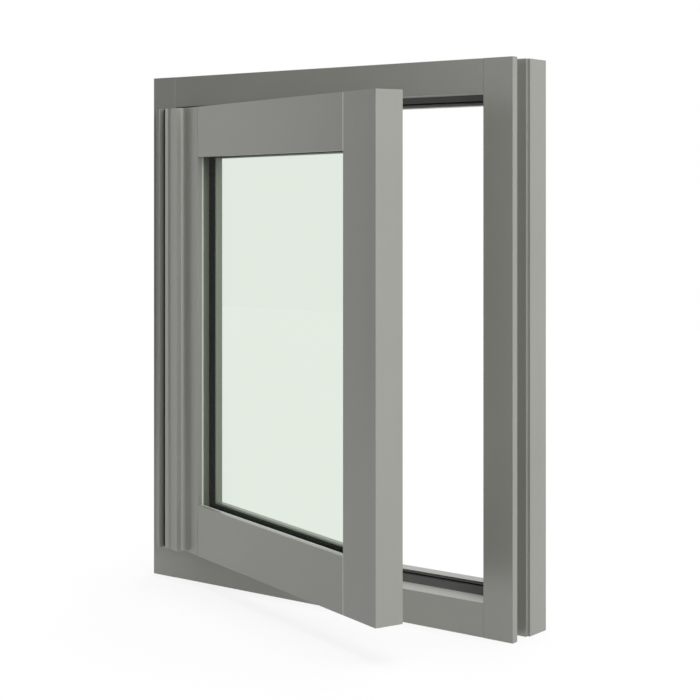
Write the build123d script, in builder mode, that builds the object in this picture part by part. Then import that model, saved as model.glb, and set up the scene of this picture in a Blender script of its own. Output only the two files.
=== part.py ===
from build123d import *
import os

# Casement window in armoured construction: a two-shell aluminium frame with a thermal break,
# and a side-hung sash with thick laminated glass, standing open on a continuous interlocking hinge.
# Millimetres; +X to the right, +Y into the wall, +Z up. The front of the window faces -Y.
# The origin is in the middle of the flat underside of the sill's rear leg.

# Frame, overall
frame_width = 850.0
frame_height = 1000.0
frame_depth = 110.0
frame_face = 60.0           # width of the front plate seen from the front
arris = 0.8                 # rounding along the front edges of the frame

# Frame section, depths measured back from the front face
flange_thick = 14.0         # front plate
groove_depth = 30.0         # perimeter groove that takes the wall panel
groove_back = 50.0          # front of the rear leg
lip_step = 4.5              # rebate along the front outer corner of the rear leg
lip_depth = 6.0
front_tier = 45.0           # depth of the front shell on the opening side
break_depth = 37.0          # depth of the thermal break on the opening side
break_step = 9.0            # height of the weather seal's seat above the front tier
break_ridge = 2.5           # step half way along the thermal break
seal_depth = 16.0
rear_rise = 13.0            # the rear tier stands this far above the front tier
head_rise = 16.5            # the same on the head, which reaches lower
shell_wall = 4.0

# Sash
gap_beside = 3.0            # clearance between the sash and the frame opening
gap_above = 4.0
gap_below = 2.0
sash_depth = 53.0
hinge_stile_face = 93.5     # face widths seen from the front, lip included
lock_stile_face = 99.0
rail_face = 98.0
sash_wall = 5.0
glass_cover = 22.0          # how far the lip covers the glass
bead_cover = 24.5           # how far the beads behind the glass cover it
bead_round = 4.0            # rounded edge of the beads, on the side of the glass
lip_thick = 10.0            # front lip of stiles and rails
tape_thick = 3.2            # pale glazing tape between lip and glass
glass_thick = 24.0
gasket_thick = 2.0          # black gasket between glass and bead
glass_edge = 3.0            # room around the edge of the glass
seam = 0.8                  # chamfer along the butted ends of the rails
cap_depth = 8.0             # plugs in the ends of the stiles
block_length = 90.0         # setting blocks under the glass
block_inset = 110.0         # from the side of the glass to the middle of a block

# Continuous hinge
open_angle = 20.0
axis_inset = 52.0           # from the frame's outer edge to the hinge axis
axis_proud = 10.5           # from the frame's front face to the hinge axis
bead_radius = 7.0           # round bead along the sash leaf
hinge_clearance = 0.3
socket_wall = 2.7
socket_from = -5.0          # the socket wraps the bead between these angles
socket_to = 180.0
leaf_proud = 17.0           # sash leaf, off the face of the stile
leaf_reach = 37.0           # sash leaf over the face of the stile
leaf_setback = 2.0
leaf_neck = 5.0
nose_radius = 1.6           # rounded nose along the sash leaf, in front of the bead
nose_inset = 8.5            # from the hinge axis to the middle of the nose
nose_rise = 4.2             # from the flat of the leaf to the middle of the nose
flank_reach = 9.5           # hollow flank between the nose and the flat of the leaf
toe_reach = 19.0            # hollow toe that runs out on the face of the stile
toe_rise = 8.0
rib_inset = 30.0            # from the frame's outer edge to the rib of the frame leaf
rib_width = 8.5
rib_proud = 24.0            # rib, off the frame's face
foot_thick = 2.0
strip_rise = 8.5            # rubber strip between the rib and the socket, above the foot
leaf_arris = 0.8

# Worked out from the values above
opening_width = frame_width - 2 * frame_face
opening_height = frame_height - 2 * frame_face
break_back = front_tier + break_depth
sash_width = opening_width - 2 * gap_beside
sash_height = opening_height - gap_above - gap_below
glass_front = lip_thick + tape_thick
gasket_front = glass_front + glass_thick
bead_front = gasket_front + gasket_thick
seat_middle = (groove_back + lip_depth + frame_depth) / 2

# The frame's base has its zero at the middle of the front face, at the bottom edge.
# The sash's base turns with the sash: its zero lies on the hinge axis, level with the frame's base.
frame_base = Plane(origin=(0, -seat_middle, 0), x_dir=(1, 0, 0), z_dir=(0, 0, 1))
hinge_base = Plane(
    origin=frame_base.from_local_coords((axis_inset - frame_width / 2, -axis_proud, 0)),
    x_dir=(1, 0, 0),
    z_dir=(0, 0, 1),
)
sash_base = hinge_base.rotated((0, 0, -open_angle))

# Outer corners of the sash and of its glazing pocket, in the sash's base
sash_front = axis_proud
sash_left = frame_face + gap_beside - axis_inset
sash_right = sash_left + sash_width
sash_bottom = frame_face + gap_below
sash_top = sash_bottom + sash_height
pocket = (
    sash_left + hinge_stile_face - glass_cover,
    sash_right - lock_stile_face + glass_cover,
    sash_bottom + rail_face - glass_cover,
    sash_top - rail_face + glass_cover,
)


def member_plane(base, side, left, right, bottom, top, front):
    """Section plane at one end of a member: x runs from the outer edge inwards, y into the wall."""
    start, inward = {
        "left": ((left, front, bottom), base.x_dir),
        "right": ((right, front, top), -base.x_dir),
        "bottom": ((right, front, bottom), base.z_dir),
        "top": ((left, front, top), -base.z_dir),
    }[side]
    return Plane(origin=base.from_local_coords(start), x_dir=inward, z_dir=inward.cross(base.y_dir))


def box_section(x_from, x_to, y_from, y_to, mode=Mode.ADD):
    """Rectangle between two corners, added to or cut from the sketch that is open."""
    with Locations(((x_from + x_to) / 2, (y_from + y_to) / 2)):
        Rectangle(x_to - x_from, y_to - y_from, mode=mode)


def front_shell(plane, length):
    """Front plate with a box behind it, one chamber, as one extrusion."""
    with BuildPart() as shell:
        with BuildSketch(plane) as section:
            box_section(0, frame_face, 0, flange_thick)
            box_section(groove_depth, frame_face, 0, front_tier)
            fillet(section.vertices().group_by(Axis.Y)[0], arris)
            box_section(
                groove_depth + shell_wall,
                frame_face - shell_wall,
                flange_thick,
                front_tier - shell_wall,
                Mode.SUBTRACT,
            )
        extrude(amount=length)
    return shell.part


def thermal_break(plane, length):
    """Insulating bar between the shells, stepped on the side of the opening."""
    ridge_at = (front_tier + seal_depth + break_back) / 2
    with BuildPart() as bar:
        with BuildSketch(plane):
            box_section(groove_depth, frame_face, front_tier, break_back)
            box_section(frame_face, frame_face + break_step, front_tier + seal_depth, ridge_at)
            box_section(frame_face, frame_face + break_step + break_ridge, ridge_at, break_back)
        extrude(amount=length)
    return bar.part


def rear_shell(plane, length, rise=rear_rise):
    """Rear leg with its rebated corner and the inner box, two chambers, as one extrusion."""
    rear_face = frame_face + rise
    with BuildPart() as shell:
        with BuildSketch(plane) as section:
            box_section(0, groove_depth, groove_back, frame_depth)
            box_section(groove_depth, rear_face, break_back, frame_depth)
            fillet(section.vertices().group_by(Axis.Y)[-1], arris)
            box_section(0, lip_step, groove_back, groove_back + lip_depth, Mode.SUBTRACT)
            box_section(
                lip_step + shell_wall,
                groove_depth - shell_wall,
                groove_back + shell_wall,
                frame_depth - shell_wall,
                Mode.SUBTRACT,
            )
            box_section(
                groove_depth,
                rear_face - shell_wall,
                break_back + shell_wall,
                frame_depth - shell_wall,
                Mode.SUBTRACT,
            )
        extrude(amount=length)
    return shell.part


def weather_seal(plane, length):
    """Rubber wedge that the closed sash presses on."""
    with BuildPart() as seal:
        with BuildSketch(plane):
            with BuildLine():
                Polyline(
                    (frame_face, front_tier),
                    (frame_face + break_step, front_tier + seal_depth),
                    (frame_face, front_tier + seal_depth),
                    close=True,
                )
            make_face()
        extrude(amount=length)
    return seal.part


def coped(blank, cutters):
    """A rail's blank cut back to the outlines that it butts against, and nothing in their chambers."""
    with BuildPart() as rail:
        add(blank)
        for cutter in cutters:
            add(cutter, mode=Mode.SUBTRACT)
    return rail.solids().sort_by(SortBy.VOLUME)[-1]


pieces = {}

# Frame: the jambs run the full height, and the head and the sill are coped in between them.
frame_sections = {
    "front_shell": front_shell,
    "thermal_break": thermal_break,
    "rear_shell": rear_shell,
    "weather_seal": weather_seal,
}
half_width = frame_width / 2
for jamb, side in (("left_jamb", "left"), ("right_jamb", "right")):
    for section_name, section in frame_sections.items():
        end = frame_face if section is weather_seal else 0
        plane = member_plane(frame_base, side, -half_width, half_width, end, frame_height - end, 0)
        pieces[f"{jamb}_{section_name}"] = section(plane, frame_height - 2 * end)
jamb_pieces = list(pieces.values())
inside = half_width - frame_face
for rail, side, rise in (("head", "top", head_rise), ("sill", "bottom", rear_rise)):
    plane = member_plane(frame_base, side, -inside, inside, 0, frame_height, 0)
    for section_name, section in frame_sections.items():
        own_rise = (rise,) if section is rear_shell else ()
        blank = section(plane, opening_width, *own_rise)
        pieces[f"{rail}_{section_name}"] = coped(blank, jamb_pieces)


def sash_member(plane, length, face):
    """Hollow stile or rail with the front lip that holds the glass."""
    tube_face = face - glass_cover
    with BuildPart() as member:
        with BuildSketch(plane):
            box_section(0, tube_face, 0, sash_depth)
            box_section(tube_face, face, 0, lip_thick)
            box_section(
                sash_wall, tube_face - sash_wall, sash_wall, sash_depth - sash_wall, Mode.SUBTRACT
            )
        extrude(amount=length)
    return member.part


# Sash: the stiles run the full height, and the rails are butted in between them.
for stile, side, face in (
    ("hinge_stile", "left", hinge_stile_face),
    ("lock_stile", "right", lock_stile_face),
):
    plane = member_plane(sash_base, side, sash_left, sash_right, sash_bottom, sash_top, sash_front)
    pieces[stile] = sash_member(plane, sash_height, face)
    with BuildPart() as caps:
        for height in (0, sash_height - cap_depth):
            with BuildSketch(plane.offset(height)):
                box_section(
                    sash_wall, face - glass_cover - sash_wall, sash_wall, sash_depth - sash_wall
                )
            extrude(amount=cap_depth)
    pieces[f"{stile}_end_plugs"] = caps.part
stiles = [pieces["hinge_stile"], pieces["lock_stile"]]
depth_axis = Axis((0, 0, 0), sash_base.y_dir)
for rail, side in (("top_rail", "top"), ("bottom_rail", "bottom")):
    plane = member_plane(
        sash_base, side, pocket[0], pocket[1], sash_bottom, sash_top, sash_front
    )
    with BuildPart() as butted:
        add(coped(sash_member(plane, pocket[1] - pocket[0], rail_face), stiles))
        chamfer(butted.edges().filter_by(Axis.Z).group_by(depth_axis)[0], seam)
    pieces[rail] = butted.part


def pocket_strips(name, y_from, thick, width, round_edge=0):
    """Four strips around the glazing pocket: uprights run through, level ones are coped to them."""
    left, right, bottom, top = pocket
    uprights = []
    for side in ("left", "right", "top", "bottom"):
        plane = member_plane(sash_base, side, left, right, bottom, top, sash_front + y_from)
        with BuildPart() as strip:
            with BuildSketch(plane) as section:
                box_section(0, width, 0, thick)
                if round_edge:
                    fillet(section.vertices().group_by(Axis.Y)[0].sort_by(Axis.X)[-1], round_edge)
            extrude(amount=top - bottom if side in ("left", "right") else right - left)
        if side in ("left", "right"):
            uprights.append(strip.part)
            pieces[f"{side}_{name}"] = strip.part
        else:
            pieces[f"{side}_{name}"] = coped(strip.part, uprights)


# Glazing, from the front lip to the back: tape, glass, gasket and screwed-in bead.
pocket_strips("glazing_tape", lip_thick, tape_thick, glass_cover)
pocket_strips("glazing_gasket", gasket_front, gasket_thick, glass_cover)
pocket_strips("glazing_bead", bead_front, sash_depth - bead_front, bead_cover, bead_round)

glass_plane = Plane(
    origin=sash_base.from_local_coords(
        ((pocket[0] + pocket[1]) / 2, sash_front + glass_front, (pocket[2] + pocket[3]) / 2)
    ),
    x_dir=sash_base.x_dir,
    z_dir=sash_base.y_dir,
)
glass_width = pocket[1] - pocket[0] - 2 * glass_edge
glass_height = pocket[3] - pocket[2] - 2 * glass_edge
with BuildPart() as glass:
    with BuildSketch(glass_plane):
        Rectangle(glass_width, glass_height)
    extrude(amount=glass_thick)
pieces["armoured_glass"] = glass.part

block_plane = Plane(
    origin=sash_base.from_local_coords(
        ((pocket[0] + pocket[1]) / 2, sash_front + glass_front + glass_thick / 2, pocket[2])
    ),
    x_dir=sash_base.x_dir,
    z_dir=(0, 0, 1),
)
with BuildPart() as blocks:
    with BuildSketch(block_plane):
        with GridLocations(glass_width - 2 * block_inset, 0, 2, 1):
            Rectangle(block_length, glass_thick)
    extrude(amount=glass_edge)
pieces["setting_blocks"] = blocks.part

# Continuous hinge, as long as the sash. The frame leaf is drawn about the axis on the frame's face,
# the sash leaf about the axis in the sash's base, so its bead turns inside the frame leaf's socket.
socket_inner = bead_radius + hinge_clearance
socket_outer = socket_inner + socket_wall
frame_side = axis_proud                     # y of the frame's face, seen from the axis
foot_front = frame_side - foot_thick
rib_left = rib_inset - axis_inset
rib_right = rib_left + rib_width
with BuildPart() as frame_leaf:
    with BuildSketch(hinge_base.offset(sash_bottom)) as section:
        box_section(rib_left, rib_right, frame_side - rib_proud, frame_side)
        fillet(section.vertices().group_by(Axis.Y)[0], leaf_arris)
        box_section(rib_right, socket_inner, foot_front, frame_side)
        with BuildLine():
            outer = CenterArc((0, 0), socket_outer, socket_from, socket_to - socket_from)
            inner = CenterArc((0, 0), socket_inner, socket_from, socket_to - socket_from)
            Line(outer @ 0, inner @ 0)
            Line(outer @ 1, inner @ 1)
        make_face()
        Circle(socket_inner, mode=Mode.SUBTRACT)
    extrude(amount=sash_height)
pieces["hinge_frame_leaf"] = frame_leaf.part

with BuildPart() as slot_strip:
    with BuildSketch(hinge_base.offset(sash_bottom)):
        box_section(rib_right, -socket_outer - hinge_clearance, foot_front - strip_rise, foot_front)
    extrude(amount=sash_height)
pieces["hinge_slot_strip"] = slot_strip.part

# The flank is the arc that leaves the flat of the leaf without a bend and touches the nose from outside.
leaf_front = axis_proud - leaf_proud        # y of the sash leaf's flat, seen from the axis
leaf_left = sash_left + leaf_setback
leaf_right = sash_left + leaf_reach
flank_end = nose_inset + flank_reach
flank_radius = (flank_reach**2 + nose_rise**2 - nose_radius**2) / (2 * (nose_rise + nose_radius))
nose = Vector(nose_inset, leaf_front - nose_rise)
flank_middle = Vector(flank_end, leaf_front - flank_radius)
touch = nose + (flank_middle - nose).normalized() * nose_radius
with BuildPart() as sash_leaf:
    with BuildSketch(sash_base.offset(sash_bottom)) as section:
        box_section(leaf_left, leaf_right, leaf_front, sash_front)
        fillet(section.vertices().group_by(Axis.Y)[0].sort_by(Axis.X)[-1], leaf_arris)
        box_section(0, leaf_left, leaf_front, leaf_front + leaf_neck)
        Circle(bead_radius)
        with Locations(nose):
            Circle(nose_radius)
        with BuildLine():
            flank = RadiusArc(touch, (flank_end, leaf_front), flank_radius)
            Polyline(
                flank @ 1,
                (flank_end, leaf_front + leaf_neck),
                (nose_inset - nose_radius, leaf_front + leaf_neck),
                nose - (nose_radius, 0),
                nose,
                flank @ 0,
            )
        make_face()
        with BuildLine():
            toe = EllipticalCenterArc(
                (leaf_right + toe_reach, sash_front - toe_rise), toe_reach, toe_rise, 90, arc_size=90
            )
            Polyline(toe @ 1, (leaf_right, sash_front), toe @ 0)
        make_face()
    extrude(amount=sash_height)
pieces["hinge_sash_leaf"] = sash_leaf.part

os.makedirs("parts", exist_ok=True)
for name, part in pieces.items():
    part.label = name
    export_step(part, f"parts/{name}.step")
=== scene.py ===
import math

import bpy
import numpy as np
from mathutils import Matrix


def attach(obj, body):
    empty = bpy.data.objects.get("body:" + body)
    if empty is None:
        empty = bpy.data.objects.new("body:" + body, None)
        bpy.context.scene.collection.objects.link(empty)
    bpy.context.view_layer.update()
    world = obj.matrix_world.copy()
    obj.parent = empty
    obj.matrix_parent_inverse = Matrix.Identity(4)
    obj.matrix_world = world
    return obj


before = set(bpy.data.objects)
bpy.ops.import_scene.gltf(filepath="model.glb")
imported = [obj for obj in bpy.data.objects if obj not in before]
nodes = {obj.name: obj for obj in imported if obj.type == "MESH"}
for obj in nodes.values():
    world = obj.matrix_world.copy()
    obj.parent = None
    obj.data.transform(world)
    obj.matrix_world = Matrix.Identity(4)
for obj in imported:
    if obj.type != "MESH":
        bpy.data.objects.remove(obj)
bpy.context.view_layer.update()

# Frame: square-cut aluminium extrusions, a front and a rear shell on each side of the opening,
# screwed together at the corners and coated satin grey with a fine metallic grain. The jambs run
# through, so the die lines stand upright on them and lie level on the head and the sill.


class Shade:
    """A shader socket that sums, differences and products can be written with, in one material's tree."""

    def __init__(self, tree, socket):
        self.tree, self.socket = tree, socket

    def node(self, kind, settings=(), out=0, **sockets):
        """Adds a node, sets its settings, then feeds its sockets by number (_0) or by name (Base_Color)."""
        made = self.tree.nodes.new(kind)
        for key, value in dict(settings).items():
            setattr(made, key, value)
        for key, value in sockets.items():
            target = made.inputs[int(key[1:])] if key[0] == "_" else made.inputs[key.replace("_", " ")]
            if isinstance(value, Shade):
                self.tree.links.new(value.socket, target)
            else:
                target.default_value = value
        return Shade(self.tree, made.outputs[out])

    def math(self, operation, *values):
        """One Math node of that operation."""
        sockets = {f"_{number}": value for number, value in enumerate(values)}
        return self.node("ShaderNodeMath", {"operation": operation}, **sockets)

    def blend(self, low, high):
        """Mix of two colours, low where this value is 0 and high where it is 1."""
        return self.node("ShaderNodeMix", {"data_type": "RGBA"}, 2, _0=self, _6=low, _7=high)

    def __add__(self, other):
        return self.math("ADD", self, other)

    def __sub__(self, other):
        return self.math("SUBTRACT", self, other)

    def __rsub__(self, other):
        return self.math("SUBTRACT", other, self)

    def __mul__(self, other):
        return self.math("MULTIPLY", self, other)

    __radd__, __rmul__ = __add__, __mul__


def fresh_material(name):
    """A new node material: the material, its Principled shader and a start for node expressions."""
    material = bpy.data.materials.new(name)
    material.use_nodes = True
    tree = material.node_tree
    shader = tree.nodes["Principled BSDF"]
    return material, shader, Shade(tree, shader.outputs[0])


def feed(shader, socket, value):
    """Links a node expression to a shader's socket, or sets a plain value on it."""
    if isinstance(value, Shade):
        value.tree.links.new(value.socket, shader.inputs[socket])
    else:
        shader.inputs[socket].default_value = value


paint_colour = (0.31, 0.313, 0.286)


def satin_coat(name, run, turn=0.0):
    """Satin metallic coat: fine grain, faint die lines along run ("X" or "Z"), and slow tone changes."""
    material, shader, start = fresh_material(name)
    place = start.node("ShaderNodeTexCoord", out=3)
    turned = start.node("ShaderNodeMapping", _0=place, _2=(0.0, 0.0, turn))
    squeeze = (4.0, 700.0, 700.0) if run == "X" else (700.0, 700.0, 4.0)
    along = start.node("ShaderNodeMapping", _0=turned, _3=squeeze)
    lines = start.node("ShaderNodeTexNoise", Vector=along, Scale=1.0, Detail=2.0, Roughness=0.5)
    grain = start.node("ShaderNodeTexNoise", Vector=place, Scale=1600.0, Detail=1.0, Roughness=0.5)
    clouds = start.node("ShaderNodeTexNoise", Vector=place, Scale=5.0, Detail=3.0, Roughness=0.55)
    tone = 0.86 + 0.12 * clouds + 0.1 * grain + 0.06 * lines
    dark = tuple(0.9 * c for c in paint_colour)
    light = tuple(1.12 * c for c in paint_colour)
    feed(shader, "Base Color", (4.0 * (tone - 0.9)).blend((*dark, 1), (*light, 1)))
    feed(shader, "Roughness", 0.26 + 0.06 * grain + 0.04 * clouds)
    shader.inputs["Metallic"].default_value = 0.3
    height = 0.6 * grain + 0.4 * lines
    soft = start.node("ShaderNodeBevel", {"samples": 4}, Radius=0.0003)
    bump = start.node("ShaderNodeBump", Strength=0.06, Distance=0.0004, Height=height, Normal=soft)
    feed(shader, "Normal", bump)
    return material


def dress(material, *names):
    """Gives CAD nodes one material."""
    for name in names:
        mesh = nodes[name].data
        mesh.materials.clear()
        mesh.materials.append(material)


upright_coat = satin_coat("frame_coat_upright", "Z")
level_coat = satin_coat("frame_coat_level", "X")
for shell in ("front_shell", "rear_shell"):
    dress(upright_coat, f"left_jamb_{shell}", f"right_jamb_{shell}")
    dress(level_coat, f"head_{shell}", f"sill_{shell}")

# Thermal break: black polyamide bars with glass fibre, rolled in between the two shells.
# Their stepped side shows in the opening behind the weather seal.


def fibre_plastic(name, run):
    """Matt black plastic with short pale fibre streaks along run ("X" or "Z")."""
    material, shader, start = fresh_material(name)
    place = start.node("ShaderNodeTexCoord", out=3)
    squeeze = (60.0, 1500.0, 1500.0) if run == "X" else (1500.0, 1500.0, 60.0)
    along = start.node("ShaderNodeMapping", _0=place, _3=squeeze)
    streaks = start.node("ShaderNodeTexNoise", Vector=along, Scale=1.0, Detail=2.0, Roughness=0.6)
    feed(shader, "Base Color", streaks.blend((0.008, 0.008, 0.008, 1), (0.022, 0.022, 0.021, 1)))
    feed(shader, "Roughness", 0.5 + 0.2 * streaks)
    shader.inputs["Specular IOR Level"].default_value = 0.2
    feed(shader, "Normal", start.node("ShaderNodeBump", Strength=0.15, Distance=0.0003, Height=streaks))
    return material


dress(fibre_plastic("break_upright", "Z"), "left_jamb_thermal_break", "right_jamb_thermal_break")
dress(fibre_plastic("break_level", "X"), "head_thermal_break", "sill_thermal_break")

# Weather seal: extruded rubber wedges pushed into the frame all round the opening.
# The closed sash presses on their slope.


def moulded_rubber(name, dark, light, rough):
    """Rubber with a fine pitted skin and a slight bloom."""
    material, shader, start = fresh_material(name)
    place = start.node("ShaderNodeTexCoord", out=3)
    pits = start.node("ShaderNodeTexNoise", Vector=place, Scale=1200.0, Detail=2.0, Roughness=0.6)
    bloom = start.node("ShaderNodeTexNoise", Vector=place, Scale=18.0, Detail=3.0, Roughness=0.5)
    feed(shader, "Base Color", (0.5 * pits + 0.5 * bloom).blend((*dark, 1), (*light, 1)))
    feed(shader, "Roughness", rough + 0.12 * pits)
    shader.inputs["Specular IOR Level"].default_value = 0.25
    feed(shader, "Normal", start.node("ShaderNodeBump", Strength=0.2, Distance=0.0003, Height=pits))
    return material


members = ("left_jamb", "right_jamb", "head", "sill")
seal_rubber = moulded_rubber("weather_seal_rubber", (0.035, 0.036, 0.034), (0.075, 0.076, 0.072), 0.5)
dress(seal_rubber, *(f"{member}_weather_seal" for member in members))

# Sash: hollow aluminium stiles and rails in the same coat, standing open on the hinge. The rails are
# butted in between the stiles, whose ends are closed by plastic plugs.
sash_turn = math.radians(20)
sash_upright = satin_coat("sash_coat_upright", "Z", sash_turn)
sash_level = satin_coat("sash_coat_level", "X", sash_turn)
dress(sash_upright, "hinge_stile", "lock_stile")
dress(sash_level, "top_rail", "bottom_rail")
plug_plastic = moulded_rubber("end_plug_plastic", (0.06, 0.06, 0.058), (0.1, 0.1, 0.097), 0.42)
dress(plug_plastic, "hinge_stile_end_plugs", "lock_stile_end_plugs")

# Glazing: pale foam tape on the lip, thick laminated glass on setting blocks, a black rubber gasket
# behind it, and coated beads that clamp the stack from the back.
sides = ("left", "right", "top", "bottom")
tape_foam = moulded_rubber("glazing_tape_foam", (0.52, 0.53, 0.51), (0.62, 0.63, 0.61), 0.6)
gasket_rubber = moulded_rubber("gasket_rubber", (0.008, 0.008, 0.008), (0.016, 0.016, 0.015), 0.6)
dress(tape_foam, *(f"{side}_glazing_tape" for side in sides))
dress(gasket_rubber, *(f"{side}_glazing_gasket" for side in sides))
dress(sash_upright, "left_glazing_bead", "right_glazing_bead")
dress(sash_level, "top_glazing_bead", "bottom_glazing_bead")
block_plastic = moulded_rubber("setting_block_plastic", (0.03, 0.03, 0.03), (0.05, 0.05, 0.05), 0.5)
dress(block_plastic, "setting_blocks")


def laminated_glass(name):
    """Clear glass with a faint green body: lets light straight through, and mirrors more at a slant."""
    material, shader, start = fresh_material(name)
    tree = material.node_tree
    place = start.node("ShaderNodeTexCoord", out=3)
    film = start.node("ShaderNodeTexNoise", Vector=place, Scale=3.0, Detail=2.0, Roughness=0.5)
    tint = film.blend((0.868, 0.902, 0.862, 1), (0.876, 0.910, 0.870, 1))
    through = start.node("ShaderNodeBsdfTransparent", Color=tint)
    mirror = start.node("ShaderNodeBsdfGlossy", Color=(0.9, 0.95, 0.9, 1), Roughness=0.03)
    slant = start.node("ShaderNodeLayerWeight", out=1, Blend=0.5)
    share = 0.004 + 0.3 * slant.math("POWER", slant, 5.0)
    both = start.node("ShaderNodeMixShader", _0=share, _1=through, _2=mirror)
    tree.links.new(both.socket, tree.nodes["Material Output"].inputs["Surface"])
    tree.nodes.remove(shader)
    return material


dress(laminated_glass("laminated_glass"), "armoured_glass")

# Joint lines: a thin round pale bead in the chamfered butt joints of the two rails with the lock stile,
# half sunk in the joint.
# Its pale colour is a painted highlight: the light line that the chamfer of the joint catches on the front
# of the sash.
joint_half, joint_rise = 0.00075, 0.0004
joint_chamfer = 0.0008      # on the ends of the rails
joint_end = 0.0002          # room above and below a bead
sash_run = np.array([math.cos(sash_turn), -math.sin(sash_turn)])
sash_ahead = np.array([-math.sin(sash_turn), -math.cos(sash_turn)])


def node_points(name):
    """A CAD node's points, as rows of x, y and z."""
    vertices = nodes[name].data.vertices
    places = np.empty(3 * len(vertices))
    vertices.foreach_get("co", places)
    return places.reshape(-1, 3)


stile_plan = node_points("lock_stile")[:, :2]
joint_along = (stile_plan @ sash_run).min() - joint_chamfer / 2
sash_face = (stile_plan @ sash_ahead).max()


def painted_highlight_bead(rail, steps=16):
    """Ellipse carried up in z along the rail's end: half the width times the cosine along the sash from
    the joint, the rise times the sine ahead of the sash's face."""
    heights = node_points(rail)[:, 2]
    levels = (heights.min() + joint_end, heights.max() - joint_end)
    angle = np.linspace(0.0, 2.0 * math.pi, steps, endpoint=False)
    along = joint_along + joint_half * np.cos(angle)
    ahead = sash_face + joint_rise * np.sin(angle)
    plan = np.outer(along, sash_run) + np.outer(ahead, sash_ahead)
    ring = np.arange(steps)
    following = np.roll(ring, -1)
    wall = np.column_stack([ring, ring + steps, following + steps, following])
    ends = [ring.tolist(), (ring[::-1] + steps).tolist()]
    points = np.vstack([np.column_stack([plan, np.full(steps, level)]) for level in levels])
    return points.tolist(), wall.tolist() + ends


# The joint beads' pale colour is a painted highlight along the chamfered joints.
joint_highlight_paint = moulded_rubber("joint_painted_highlight", (0.68, 0.69, 0.66), (0.76, 0.77, 0.74), 0.5)
for joint_name, rail in (("lower_joint_painted_highlight", "bottom_rail"), ("upper_joint_painted_highlight", "top_rail")):
    points, faces = painted_highlight_bead(rail)
    joint_mesh = bpy.data.meshes.new(joint_name)
    joint_mesh.from_pydata(points, [], faces)
    joint_mesh.materials.append(joint_highlight_paint)
    joint_bead = bpy.data.objects.new(joint_name, joint_mesh)
    bpy.context.scene.collection.objects.link(joint_bead)
    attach(joint_bead, "root")

# Continuous hinge: two aluminium extrusions as long as the sash. The frame leaf's socket wraps
# the round bead of the sash leaf, and both are coated with the frame.
dress(satin_coat("hinge_coat_frame", "Z"), "hinge_frame_leaf")
dress(satin_coat("hinge_coat_sash", "Z", sash_turn), "hinge_sash_leaf")
dress(gasket_rubber, "hinge_slot_strip")

# Floor: a plain pale sheet that the window stands on. It shows as white to the camera and in glass
# and metal, and takes the window's shadow.
floor_half = 6.0
corners = np.array([[-1, -1, 0], [1, -1, 0], [1, 1, 0], [-1, 1, 0]], float) * floor_half
floor_mesh = bpy.data.meshes.new("floor")
floor_mesh.from_pydata(corners.tolist(), [], [[0, 1, 2, 3]])
floor = bpy.data.objects.new("floor", floor_mesh)
bpy.context.scene.collection.objects.link(floor)
floor_paper, floor_shader, start = fresh_material("floor_paper")
floor_shader.inputs["Roughness"].default_value = 0.9


def shown_to_eye(start):
    """1 for what the camera sees, straight or in metal and glass, and 0 for light on its way."""
    rays = ("Is Camera Ray", "Is Glossy Ray", "Is Transmission Ray")
    straight, in_metal, in_glass = (start.node("ShaderNodeLightPath", out=ray) for ray in rays)
    return start.math("MAXIMUM", start.math("MAXIMUM", straight, in_metal), in_glass)


shown = shown_to_eye(start)
feed(floor_shader, "Base Color", shown.blend((0.18, 0.18, 0.18, 1), (0.8, 0.8, 0.8, 1)))
glow = start.node("ShaderNodeEmission", Color=(1, 1, 1, 1), Strength=1.0)
sheet = start.node("ShaderNodeMixShader", _0=0.85 * shown, _1=start, _2=glow)
start.tree.links.new(sheet.socket, start.tree.nodes["Material Output"].inputs["Surface"])
floor_mesh.materials.append(floor_paper)

# Studio light: soft lamps from above, the right, the far left and the back, a dark flag at the front left
# that the front faces mirror, and a white room.
scene = bpy.context.scene
scene.view_settings.view_transform = "Standard"
window_middle = (0.0, 0.0, 0.5)


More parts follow.
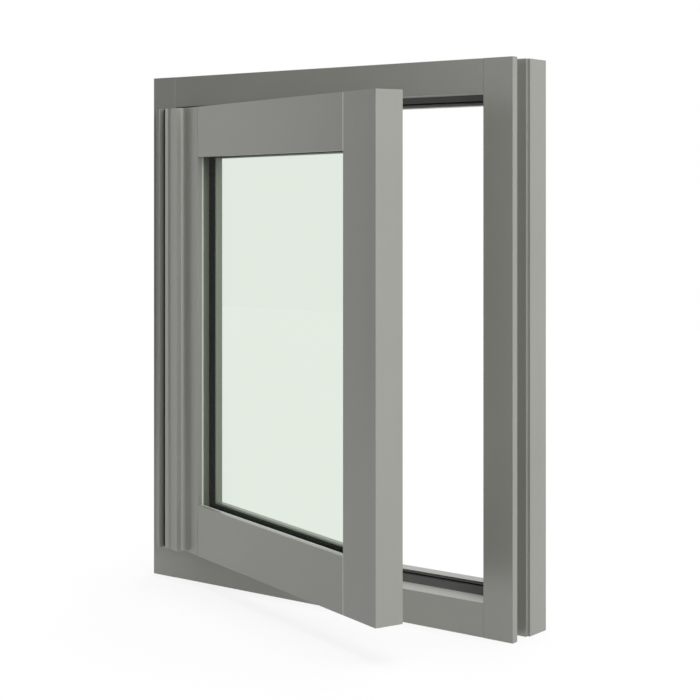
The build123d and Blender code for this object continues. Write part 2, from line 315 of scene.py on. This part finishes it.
def hang_lamp(name, place, energy, degrees):
    """A sun lamp at place, turned to the middle of the window, that doesn't show in metal or glass."""
    lamp = bpy.data.lights.new(name, "SUN")
    lamp.energy, lamp.angle = energy, math.radians(degrees)
    lamp_holder = bpy.data.objects.new(name, lamp)
    toward = np.array(window_middle) - np.array(place)
    flat = math.hypot(toward[0], toward[1])
    lamp_holder.location, lamp_holder.visible_glossy = place, False
    lamp_holder.rotation_euler = (math.atan2(flat, -toward[2]), 0.0, math.atan2(-toward[0], toward[1]))
    scene.collection.objects.link(lamp_holder)


hang_lamp("sky_light", (0.3, 0.3, 4.0), 3.2, 60)
hang_lamp("right_light", (3.56, -1.82, 0.98), 3.6, 55)
hang_lamp("left_light", (-3.98, -0.35, 0.9), 0.9, 40)
hang_lamp("back_light", (-1.2, 3.4, 1.4), 1.2, 40)

flag_middle, flag_half, flag_height = (-1.80, -1.74), 0.76, 3.0
flag_along = np.array([-flag_middle[1], flag_middle[0]]) / math.hypot(*flag_middle) * flag_half
flag_corners = [
    (flag_middle[0] + side * flag_along[0], flag_middle[1] + side * flag_along[1], height)
    for side, height in ((-1, 0.0), (1, 0.0), (1, flag_height), (-1, flag_height))
]
flag_mesh = bpy.data.meshes.new("dark_flag")
flag_mesh.from_pydata(flag_corners, [], [[0, 1, 2, 3]])
flag = bpy.data.objects.new("dark_flag", flag_mesh)
scene.collection.objects.link(flag)
flag.visible_camera = False
flag_cloth, flag_shader, _ = fresh_material("flag_cloth")
flag_shader.inputs["Base Color"].default_value = (0.05, 0.05, 0.05, 1)
flag_shader.inputs["Roughness"].default_value = 1.0
flag_mesh.materials.append(flag_cloth)

world = bpy.data.worlds.new("white_room")
world.use_nodes = True
scene.world = world
background = world.node_tree.nodes["Background"]
room = Shade(world.node_tree, background.outputs[0])
feed(background, "Strength", 0.07 + 0.93 * shown_to_eye(room))
background.inputs["Color"].default_value = (1, 1, 1, 1)

# Camera: level, at the height of the window's upper part, looking from the front right.
camera = bpy.data.cameras.new("camera")
camera.lens, camera.sensor_width = 83.3, 36.0
camera.shift_y = -0.2177
holder = bpy.data.objects.new("camera", camera)
holder.location = (1.885, -2.438, 0.7593)
holder.rotation_euler = (math.radians(90), 0.0, math.radians(37.54))
scene.collection.objects.link(holder)
scene.camera = holder
